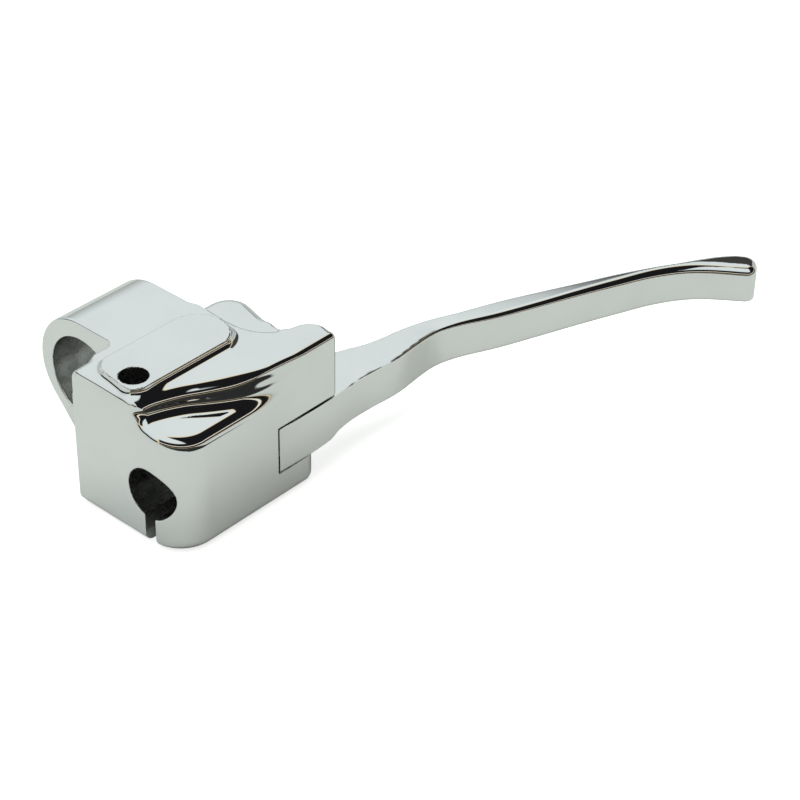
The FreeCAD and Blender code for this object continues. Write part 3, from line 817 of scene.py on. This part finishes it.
@dataclass
class LeverBlade(Billet):
    """The lever: a root plate and hub in the slot, and a finger blade with a curled tip."""

    node: str = "clutch_lever"
    body: str = "lever"
    slot: str = "lever_alloy"
    cell: float = 0.5

    front: Curve = (
        (7.0, -53.7), (30.0, -53.7), (34.0, -53.5), (44.0, -52.9), (57.0, -53.2), (66.0, -52.3),
        (71.6, -51.9), (75.8, -52.1), (80.5, -53.3), (94.1, -59.1), (106.6, -63.8),
        (119.8, -68.6), (132.4, -73.5), (145.1, -78.9), (150.6, -82.2), (155.6, -86.3),
        (159.3, -90.7), (162.7, -95.5), (165.0, -98.6), (172.0, -107.0),
    )
    rear: Curve = (
        (20.0, -37.9), (33.0, -37.9), (45.0, -38.2), (50.0, -39.6), (54.0, -41.2), (60.3, -42.5),
        (68.3, -43.4), (78.5, -45.8), (84.5, -48.0), (100.7, -53.7), (112.8, -58.9),
        (125.1, -64.3), (137.5, -69.7), (149.2, -75.7), (154.7, -78.9), (160.8, -82.2),
        (166.4, -85.8), (169.1, -88.2), (171.1, -91.0), (174.0, -97.0),
    )
    crown: Curve = (
        (0.0, -2.3), (29.0, -2.3), (36.0, -2.32), (46.0, -2.5), (60.0, -2.88), (75.0, -3.25),
        (95.0, -3.5), (125.0, -3.55), (175.0, -3.5),
    )
    camber: float = 0.0039
    belly: Curve = (
        (0.0, -16.35), (27.0, -16.35), (28.5, -16.2), (31.5, -14.9), (33.5, -14.6),
        (45.0, -15.0), (60.0, -15.5), (75.0, -15.6), (125.0, -15.6), (155.0, -15.5),
        (175.0, -15.3),
    )
    belly_edge: float = 0.8
    softness: Curve = (
        (0.0, 0.3), (45.0, 0.35), (60.0, 0.6), (75.0, 1.0), (90.0, 1.6), (110.0, 1.9),
        (130.0, 2.4), (150.0, 2.9), (175.0, 3.0),
    )
    root_edge: float = 0.3
    root_end: float = 28.0
    camber_reach: float = 8.0
    camber_x: Pair = (34.0, 50.0)
    tip: tuple[Pair, Pair] = ((163.6, -101.0), (173.4, -94.8))
    tip_rear_corner: float = 4.2
    tip_front_corner: float = 2.6
    left: float = 8.05
    pivot: Pair = (17.5, -23.5)
    hub_radius: float = 8.6
    neck_front: float = -46.0
    neck_fillet: float = 5.0
    bush_radius: float = 5.53
    flange_radius: float = 7.75
    flange_half: float = 5.85
    bush_rim: float = 0.1
    anchor: Pair = (16.0, -42.1)
    anchor_radius: float = 5.05
    kerf_reach: float = 5.5
    kerf_half: float = 2.0
    wire_slit_half: float = 1.9
    anchor_rim: float = 0.15
    slot_mid: float = -9.3

    def plan(self, x: Array, y: Array) -> Array:
        """Plan of the lever: the bar between its front and rear curves, its tip and the hub.

        The gap to each curve is multiplied by the cosine of the curve's slope, which makes it
        nearly the true distance.

        Args:
            x, y: the places.

        Returns:
            The distance.
        """
        front, front_slope = slope_of(x, self.front)
        rear, rear_slope = slope_of(x, self.rear)
        before = (front - y) / np.hypot(1.0, front_slope)
        behind = (y - rear) / np.hypot(1.0, rear_slope)
        tip = across(x, y, *self.tip)
        bar = carve(behind, tip, self.tip_rear_corner)
        bar = np.maximum(bar, carve(before, tip, self.tip_front_corner))
        bar = np.maximum(bar, before)
        hub = np.hypot(x - self.pivot[0], y - self.pivot[1]) - self.hub_radius
        neck = np.maximum(np.abs(x - self.pivot[0]) - self.hub_radius, y - self.pivot[1])
        neck = np.maximum(neck, self.neck_front - y)
        root = np.maximum(join(bar, np.minimum(hub, neck), self.neck_fillet), before)
        return np.maximum(root, self.left - x)

    def outside(self, x: Array, y: Array, z: Array) -> Array:
        """Distance to the polished lever: its plan between crown and belly, with soft edges.

        The crown falls by the square of the place off centre.

        Args:
            x, y, z: the places.

        Returns:
            The distance.
        """
        crown, _ = slope_of(x, self.crown)
        belly, _ = slope_of(x, self.belly)
        edge, _ = slope_of(x, self.softness)
        front, _ = slope_of(x, self.front)
        rear, _ = slope_of(x, self.rear)
        off_centre = np.clip(y - (front + rear) / 2.0, -self.camber_reach, self.camber_reach)
        off_centre = off_centre * smooth_step(*self.camber_x, x)
        top = z - crown + self.camber * off_centre**2
        plan = self.plan(x, y)
        upper = carve(plan, top, np.where(x < self.root_end, self.root_edge, edge))
        return np.maximum(upper, carve(plan, belly - z, np.minimum(edge, self.belly_edge)))

    def cutters(self, x: Array, y: Array, z: Array) -> list[tuple[Array, float]]:
        """Distances to the bush bore and recesses, the anchor bore, the kerf and the wire slit.

        Args:
            x, y, z: the places.

        Returns:
            The distances, each with the radius of its rim.
        """
        px, py = self.pivot
        ax, ay = self.anchor
        at_pivot = np.hypot(x - px, y - py)
        drop = np.abs(z - self.slot_mid)
        kerf = np.maximum(np.abs(y - ay) - self.kerf_reach, drop - self.kerf_half)
        slit = np.maximum(np.abs(y - ay) - self.wire_slit_half, z - self.slot_mid)
        return [
            (at_pivot - self.bush_radius, self.bush_rim),
            (np.maximum(at_pivot - self.flange_radius, self.flange_half - drop), self.bush_rim),
            (np.hypot(x - ax, y - ay) - self.anchor_radius, self.anchor_rim),
            (np.maximum(kerf, x - ax), self.anchor_rim),
            (np.maximum(slit, x - ax), self.anchor_rim),
        ]


# ---- Finishes ----


class Graph:
    """A node tree with short calls to add nodes and join them."""

    def __init__(self, tree: NodeTree) -> None:
        """Starts on an empty tree."""
        self.tree = tree

    def add(self, kind: str, inputs: dict[str | int, object] | None = None, **settings: object) -> Node:
        """Adds a node.

        Args:
            kind: the node's type, without the ShaderNode in front.
            inputs: sockets by name or number, each a value or another node's output.
            settings: the node's own properties.

        Returns:
            The node.
        """
        name = kind if kind.startswith("NodeGroup") else "ShaderNode" + kind
        node = self.tree.nodes.new(name)
        for key, value in settings.items():
            setattr(node, key, value)
        for key, value in (inputs or {}).items():
            socket = node.inputs[key]
            if isinstance(value, Socket):
                self.tree.links.new(value, socket)
            else:
                socket.default_value = value
        return node

    def math(self, operation: str, *values: object) -> Socket:
        """A Math node's result."""
        return self.add("Math", dict(enumerate(values)), operation=operation).outputs[0]

    def noise(self, vector: object, scale: float, detail: float, rough: float = 0.5) -> Socket:
        """A noise pattern's value."""
        inputs = {"Vector": vector, "Scale": scale, "Detail": detail, "Roughness": rough}
        return self.add("TexNoise", inputs).outputs["Fac"]

    def span(
        self, value: object, low: float, high: float, to_low: float = 0.0, to_high: float = 1.0
    ) -> Socket:
        """A value carried smoothly from one range to another."""
        inputs = {"Value": value, "From Min": low, "From Max": high, "To Min": to_low, "To Max": to_high}
        return self.add("MapRange", inputs, interpolation_type="SMOOTHSTEP").outputs["Result"]

    def blend(self, share: object, first: object, second: object) -> Socket:
        """A colour between two others."""
        inputs = {"Factor": share, 6: first, 7: second}
        return self.add("Mix", inputs, data_type="RGBA").outputs[2]


def new_group(
    name: str, inputs: dict[str, tuple[str, object]], outputs: dict[str, str]
) -> tuple[Graph, Node, Node]:
    """Starts a shader node group.

    Args:
        name: the group's name.
        inputs: socket types and defaults by name.
        outputs: socket types by name.

    Returns:
        The group's graph, its input node and its output node.
    """
    tree = bpy.data.node_groups.new(name, "ShaderNodeTree")
    for label, (kind, default) in inputs.items():
        socket = tree.interface.new_socket(label, in_out="INPUT", socket_type=kind)
        if default is not None:
            socket.default_value = default
    for label, kind in outputs.items():
        tree.interface.new_socket(label, in_out="OUTPUT", socket_type=kind)
    graph = Graph(tree)
    return graph, graph.add("NodeGroupInput"), graph.add("NodeGroupOutput")


SCRATCH_TILT = 0.3
SCRATCH_SETS = ((0.5, (2600.0, 90.0, 900.0)), (-0.35, (120.0, 3100.0, 700.0)))
SCRATCH_RIDGE = (0.66, 0.74)
SCRATCH_DEPTH = 0.02
PATCH_SCALE, PATCH_RANGE = 60.0, (0.42, 0.62)
SMEAR_SCALE, SMEAR_RANGE = 38.0, (0.35, 0.75)
STAIN_SCALE, STAIN_RANGE = 180.0, (0.35, 0.7)
STAIN_ROUGHNESS = 0.6
WAVE_SCALE = 70.0


def handling_marks() -> ShaderNodeTree:
    """Group of fine wiping scratches, smears and the faint waviness of hand polishing.

    Scratches are thin ridges of stretched noise in two crossing directions; smears are broad
    soft noise; waviness is very broad noise of small height.

    Returns:
        The group.
    """
    sockets = {"Scratches": ("NodeSocketFloat", 0.5), "Waviness": ("NodeSocketFloat", 0.5)}
    outputs = {"Marks": "NodeSocketFloat", "Smears": "NodeSocketFloat", "Height": "NodeSocketFloat"}
    graph, given, result = new_group("handling_marks", sockets, outputs)
    place = graph.add("TexCoord").outputs["Object"]
    ridges = []
    for turn, scale in SCRATCH_SETS:
        turns = (SCRATCH_TILT, turn, turn)
        spun = graph.add("Mapping", {"Vector": place, "Rotation": turns, "Scale": scale})
        grain = graph.noise(spun.outputs[0], 1.0, 2.0)
        ridges.append(graph.span(grain, *SCRATCH_RIDGE))
    patch = graph.span(graph.noise(place, PATCH_SCALE, 2.0), *PATCH_RANGE)
    scratch = graph.math("MULTIPLY", graph.math("MAXIMUM", *ridges), patch)
    scratch = graph.math("MULTIPLY", scratch, given.outputs["Scratches"])
    smear = graph.span(graph.noise(place, SMEAR_SCALE, 4.0, STAIN_ROUGHNESS), *SMEAR_RANGE)
    wave = graph.math("MULTIPLY", graph.noise(place, WAVE_SCALE, 1.0), given.outputs["Waviness"])
    height = graph.math("SUBTRACT", wave, graph.math("MULTIPLY", scratch, SCRATCH_DEPTH))
    graph.tree.links.new(scratch, result.inputs["Marks"])
    graph.tree.links.new(smear, result.inputs["Smears"])
    graph.tree.links.new(height, result.inputs["Height"])
    return graph.tree


def tool_lines() -> ShaderNodeTree:
    """Group of the fine parallel lines that a boring bar or end mill leaves.

    The lines are noise stretched a hundredfold along two axes, so that it varies only across
    the feed.

    Returns:
        The group.
    """
    sockets = {"Pitch": ("NodeSocketVector", (4000.0, 40.0, 40.0))}
    outputs = {"Lines": "NodeSocketFloat", "Stain": "NodeSocketFloat"}
    graph, given, result = new_group("tool_lines", sockets, outputs)
    place = graph.add("TexCoord").outputs["Object"]
    scaled = graph.add("VectorMath", {0: place, 1: given.outputs["Pitch"]}, operation="MULTIPLY")
    graph.tree.links.new(graph.noise(scaled.outputs[0], 1.0, 3.0), result.inputs["Lines"])
    stain = graph.span(graph.noise(place, STAIN_SCALE, 5.0, STAIN_ROUGHNESS), *STAIN_RANGE)
    graph.tree.links.new(stain, result.inputs["Stain"])
    return graph.tree


@dataclass(frozen=True)
class MetalFinish:
    """One metal surface: its colours, its gloss and how much it is marked.

    The pitch, where there is one, is the scale of the tool lines along each axis.
    """

    kind: Finish
    clean: Triple
    dull: Triple
    roughness: float
    marked_roughness: float
    scratches: float
    waviness: float
    bump: float
    pitch: Triple | None = None
    bump_distance: float = 0.0001
    smear_share: float = 0.5
    line_height: float = 0.15
    dull_share: float = 0.6

    def material(self, marks: ShaderNodeTree, lines: ShaderNodeTree) -> Material:
        """Makes the finish's material from the groups of handling marks and tool lines.

        Args:
            marks: the group of handling marks.
            lines: the group of tool lines.

        Returns:
            The material.
        """
        material = bpy.data.materials.new(self.kind.value)
        material.use_nodes = True
        graph = Graph(material.node_tree)
        shader = material.node_tree.nodes["Principled BSDF"]
        group = graph.add("Group", node_tree=marks)
        group.inputs["Scratches"].default_value = self.scratches
        group.inputs["Waviness"].default_value = self.waviness
        mask, height = group.outputs["Smears"], group.outputs["Height"]
        if self.pitch is not None:
            feed = graph.add("Group", node_tree=lines)
            feed.inputs["Pitch"].default_value = self.pitch
            smears = graph.math("MULTIPLY", mask, self.smear_share)
            mask = graph.math("MAXIMUM", feed.outputs["Stain"], smears)
            cut = graph.math("MULTIPLY", feed.outputs["Lines"], self.line_height)
            height = graph.math("ADD", height, cut)
        colour = graph.blend(mask, (*self.clean, 1.0), (*self.dull, 1.0))
        dulled = graph.math("MULTIPLY", mask, self.dull_share)
        worn = graph.math("MAXIMUM", dulled, group.outputs["Marks"])
        rough = graph.span(worn, 0.0, 1.0, self.roughness, self.marked_roughness)
        relief = {"Height": height, "Strength": self.bump, "Distance": self.bump_distance}
        bump = graph.add("Bump", relief)
        shader.inputs["Metallic"].default_value = 1.0
        links = material.node_tree.links
        links.new(colour, shader.inputs["Base Color"])
        links.new(rough, shader.inputs["Roughness"])
        links.new(bump.outputs[0], shader.inputs["Normal"])
        return material


METALS = (
    MetalFinish(Finish.POLISHED, (0.90, 0.91, 0.905), (0.86, 0.87, 0.86), 0.035, 0.13, 0.6, 0.8, 0.25),
    MetalFinish(Finish.BORED, (0.60, 0.61, 0.60), (0.40, 0.40, 0.39), 0.24, 0.42, 0.4, 0.2, 0.5,
                (3600.0, 60.0, 60.0)),
    MetalFinish(Finish.GROUND, (0.56, 0.55, 0.53), (0.44, 0.43, 0.41), 0.2, 0.38, 0.8, 0.2, 0.4,
                (90.0, 90.0, 3000.0)),
    MetalFinish(Finish.PLATED, (0.74, 0.75, 0.76), (0.55, 0.54, 0.50), 0.16, 0.34, 0.6, 0.3, 0.35,
                (60.0, 1800.0, 60.0)),
    MetalFinish(Finish.BRONZE, (0.72, 0.48, 0.25), (0.42, 0.27, 0.14), 0.22, 0.42, 0.5, 0.2, 0.4,
                (80.0, 80.0, 2600.0)),
)


@dataclass(frozen=True)
class FloorFinish:
    """A plain pale floor of matt paper, whose near edge is painted dark for reflected rays only: a painted
    dark reflection in the metal.

    The spans are places in metres where the painted dark strip fades out, to the rear and to the right.
    """

    shade_low: Triple = (0.500, 0.520, 0.495)
    shade_high: Triple = (0.520, 0.535, 0.510)
    grain: float = 90.0
    roughness: float = 0.9
    # Colour of the painted dark strip, a painted dark reflection that only reflected rays see.
    dark: Triple = (0.012, 0.012, 0.012)
    painted_strip_rear: Pair = (-0.104, -0.098)
    painted_strip_right: Pair = (0.034, 0.039)
    glow: float = 0.75

    def material(self) -> Material:
        """Makes the floor's material, which glows a little towards the camera.

        Returns:
            The material.
        """
        material = bpy.data.materials.new(Finish.FLOOR.value)
        material.use_nodes = True
        graph = Graph(material.node_tree)
        place = graph.add("TexCoord").outputs["Object"]
        grain = graph.noise(place, self.grain, 3.0)
        shade = graph.blend(grain, (*self.shade_low, 1.0), (*self.shade_high, 1.0))
        shader = material.node_tree.nodes["Principled BSDF"]
        shader.inputs["Roughness"].default_value = self.roughness
        seen = graph.add("LightPath").outputs["Is Camera Ray"]
        parts = graph.add("SeparateXYZ", {0: place}).outputs
        # Painted dark strip: painted shade on the floor's near edge, hidden from the camera and seen only
        # in the metal's reflections.
        near = graph.span(parts["Y"], *self.painted_strip_rear, 1.0, 0.0)
        left = graph.span(parts["X"], *self.painted_strip_right, 1.0, 0.0)
        unseen = graph.math("SUBTRACT", 1.0, seen)
        painted_dark_strip = graph.math("MULTIPLY", graph.math("MULTIPLY", near, left), unseen)
        shade = graph.blend(painted_dark_strip, shade, (*self.dark, 1.0))
        links = material.node_tree.links
        links.new(shade, shader.inputs["Base Color"])
        shader.inputs["Emission Color"].default_value = (1.0, 1.0, 1.0, 1.0)
        links.new(graph.math("MULTIPLY", seen, self.glow), shader.inputs["Emission Strength"])
        return material


# ---- Studio ----


@dataclass(frozen=True)
class RoomZone:
    """A part of the room with its own brightness, bounded by a slanting plane and a height.

    The zone covers a direction where its dot product with the axis passes from start to full,
    and its upward part passes from above_start to above_full.
    """

    axis: Triple
    start: float
    full: float
    colour: Triple
    above_start: float = -1.2
    above_full: float = -1.1


@dataclass
class Studio:
    """The pale floor, the camera and a soft white room that is dark behind the camera."""

    camera_place: Triple = (-0.35250, -0.41340, 0.36531)
    right: Triple = (0.66787, -0.74413, 0.01496)
    up: Triple = (0.41965, 0.39308, 0.81816)
    back: Triple = (-0.61470, -0.54014, 0.57480)
    lens: float = 105.04
    sensor: float = 36.0
    clip_end: float = 50.0
    floor_half: float = 6.0
    white: Triple = (0.74, 0.80, 0.80)
    low_white: Triple = (0.42, 0.46, 0.44)
    white_rise: Pair = (-0.05, 0.50)
    near: Triple = (-0.035, -0.999, 0.0)
    warm: Triple = (0.90, 0.72, 0.44)
    gleam: Triple = (0.86, 0.80, 0.68)
    dark: Triple = (0.010, 0.010, 0.011)
    charcoal: Triple = (0.050, 0.049, 0.045)
    far_corner_deg: float = 10.0
    light_place: Triple = (0.1, 0.2, 1.4)
    light_aim: Triple = (0.05, -0.05, 0.0)
    light_size: float = 1.6
    light_power: float = 22.0

    def zones(self) -> list[RoomZone]:
        """The room's zones from the first painted to the last, each over those before it.

        They are a dark foot on the left, a grey far corner, the near side's warm edge, dark
        wall, thin gleam and dark upper wall, and white high on the left.

        Returns:
            The zones.
        """
        tilt = math.radians(self.far_corner_deg)
        far_corner = (math.cos(tilt), 0.0, math.sin(tilt))
        return [
            RoomZone((-1.0, 0.0, 0.0), 0.25, 0.45, self.dark, 0.23, 0.18),
            RoomZone(far_corner, 0.738, 0.785, self.charcoal, 0.24, 0.34),
            RoomZone(self.near, 0.02, 0.08, self.warm),
            RoomZone(self.near, 0.09, 0.17, self.dark, 0.00, 0.04),
            RoomZone(self.near, 0.09, 0.17, self.gleam, 0.185, 0.20),
            RoomZone(self.near, 0.09, 0.17, self.dark, 0.26, 0.28),
            RoomZone((-1.0, 0.0, 0.0), 0.14, 0.22, self.white, 0.52, 0.62),
        ]

    def camera(self) -> None:
        """Places the camera."""
        data = bpy.data.cameras.new("studio_camera")
        data.lens = self.lens
        data.sensor_width = self.sensor
        data.clip_end = self.clip_end
        camera = bpy.data.objects.new("studio_camera", data)
        turn = Matrix((self.right, self.up, self.back)).transposed().to_4x4()
        camera.matrix_world = Matrix.Translation(Vector(self.camera_place)) @ turn
        bpy.context.scene.collection.objects.link(camera)
        bpy.context.scene.camera = camera

    def room(self) -> None:
        """Lights the room with its white gradient and its zones; the camera sees plain white."""
        world = bpy.data.worlds.new("soft_room")
        bpy.context.scene.world = world
        world.use_nodes = True
        graph = Graph(world.node_tree)
        world.node_tree.nodes.clear()
        direction = graph.add("TexCoord").outputs["Generated"]
        height = graph.add("SeparateXYZ", {0: direction}).outputs["Z"]
        share = graph.span(height, *self.white_rise)
        colour = graph.blend(share, (*self.low_white, 1.0), (*self.white, 1.0))
        for zone in self.zones():
            near = graph.add("VectorMath", {0: direction, 1: zone.axis}, operation="DOT_PRODUCT")
            side = graph.span(near.outputs["Value"], zone.start, zone.full)
            above = graph.span(height, zone.above_start, zone.above_full)
            colour = graph.blend(graph.math("MULTIPLY", side, above), colour, (*zone.colour, 1.0))
        seen = graph.add("LightPath").outputs["Is Camera Ray"]
        colour = graph.blend(seen, colour, (1.0, 1.0, 1.0, 1.0))
        light = graph.add("Background", {"Color": colour, "Strength": 1.0})
        output = graph.add("OutputWorld")
        world.node_tree.links.new(light.outputs[0], output.inputs["Surface"])

    def soft_light(self) -> None:
        """Adds a large soft light above, aimed at the lever and unseen in reflections."""
        data = bpy.data.lights.new("overhead_light", "AREA")
        data.size = self.light_size
        data.energy = self.light_power
        light = bpy.data.objects.new("overhead_light", data)
        place = Vector(self.light_place)
        aim = Vector(self.light_aim) - place
        light.matrix_world = Matrix.Translation(place) @ aim.to_track_quat("-Z", "Y").to_matrix().to_4x4()
        light.visible_glossy = False
        light.visible_camera = False
        bpy.context.scene.collection.objects.link(light)

    def floor(self, level: float) -> None:
        """Lays the floor at a level in millimetres, that of the object's lowest point.

        Args:
            level: the floor's height.
        """
        half = self.floor_half / MM
        signs = np.array([(-1, -1), (1, -1), (1, 1), (-1, 1)])
        corners = np.column_stack([signs * half, np.full(4, level)])
        floor = mesh_from_arrays("studio_floor", corners, np.array([[0, 1, 2, 3]]))
        floor.data.materials.append(FloorFinish().material())

    def build(self, level: float) -> None:
        """Sets up the floor, the camera and the light.

        Args:
            level: the floor's height.
        """
        bpy.context.scene.view_settings.view_transform = "Standard"
        self.camera()
        self.room()
        self.floor(level)
        self.soft_light()


# ---- Hardware ----


HARDWARE = {
    Finish.PLATED: ("pivot_screw", "clamp_screws", "clamp_washers"),
    Finish.GROUND: (
        "pivot_lock_washer", "upper_thrust_washer", "lower_thrust_washer", "cable_anchor_barrel",
    ),
    Finish.BRONZE: (
        "upper_pivot_bush", "lower_pivot_bush", "upper_anchor_bush", "lower_anchor_bush",
    ),
}


def dress_hardware(nodes: dict[str, Object], finishes: dict[Finish, Material]) -> None:
    """Gives each carried-over piece of hardware its finish.

    Args:
        nodes: the CAD objects by name.
        finishes: the materials by finish.
    """
    for finish, names in HARDWARE.items():
        for name in names:
            mesh = nodes[name].data
            mesh.materials.clear()
            mesh.materials.append(finishes[finish])
            LOG.info("%s: %s", name, finish.value)


def main() -> None:
    """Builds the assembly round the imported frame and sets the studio."""
    logging.basicConfig(level=logging.INFO, format="%(name)s %(message)s")
    marks, lines = handling_marks(), tool_lines()
    finishes = {metal.kind: metal.material(marks, lines) for metal in METALS}
    PerchBody().build(finishes)
    LeverBlade().build(finishes)
    dress_hardware(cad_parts, finishes)
    Studio().build(PerchBody().bottom)


if __name__ == "__main__":
    main()
